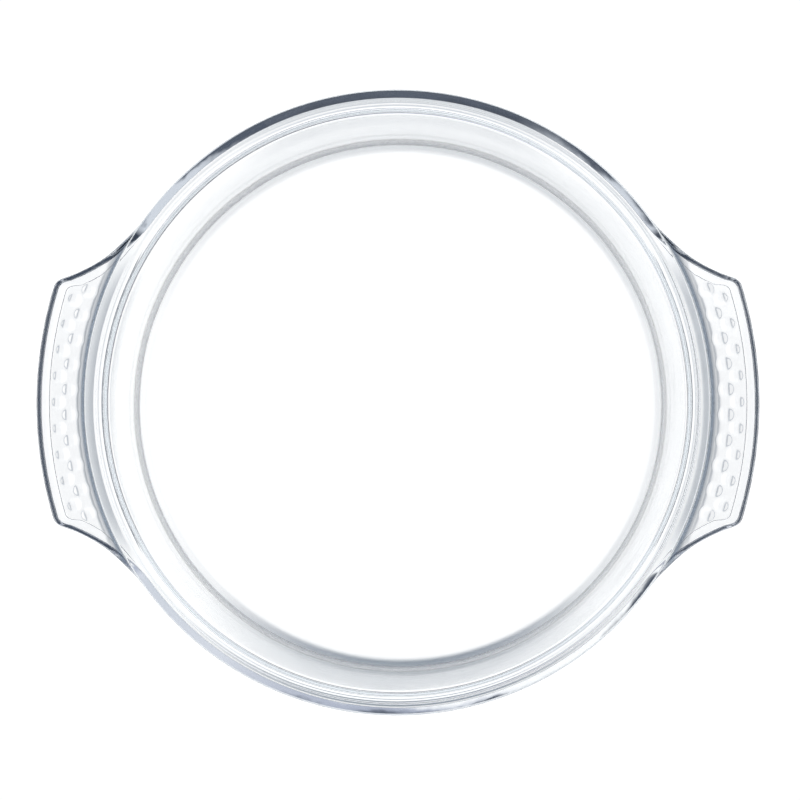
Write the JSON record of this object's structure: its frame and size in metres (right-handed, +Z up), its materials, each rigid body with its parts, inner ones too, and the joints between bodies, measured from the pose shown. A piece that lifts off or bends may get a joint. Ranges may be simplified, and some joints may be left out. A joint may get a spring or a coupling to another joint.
{
  "type": "glass casserole dish",
  "caption": "Round clear glass casserole dish with a flat bottom, a step inside its flat-topped lip and a dotted grip handle on each side.",
  "frame": {"origin": "on the table, under the middle of the bowl", "axes": "+X from the left handle to the right handle, +Y across, +Z up"},
  "size_m": [0.2796, 0.241, 0.072],
  "materials": {
    "glass": "clear pressed glass with a faint cool tint, fire-polished and smooth"
  },
  "bodies": {
    "root": {"bowl": "glass", "left_handle": "glass", "right_handle": "glass"}
  },
  "joints": []
}
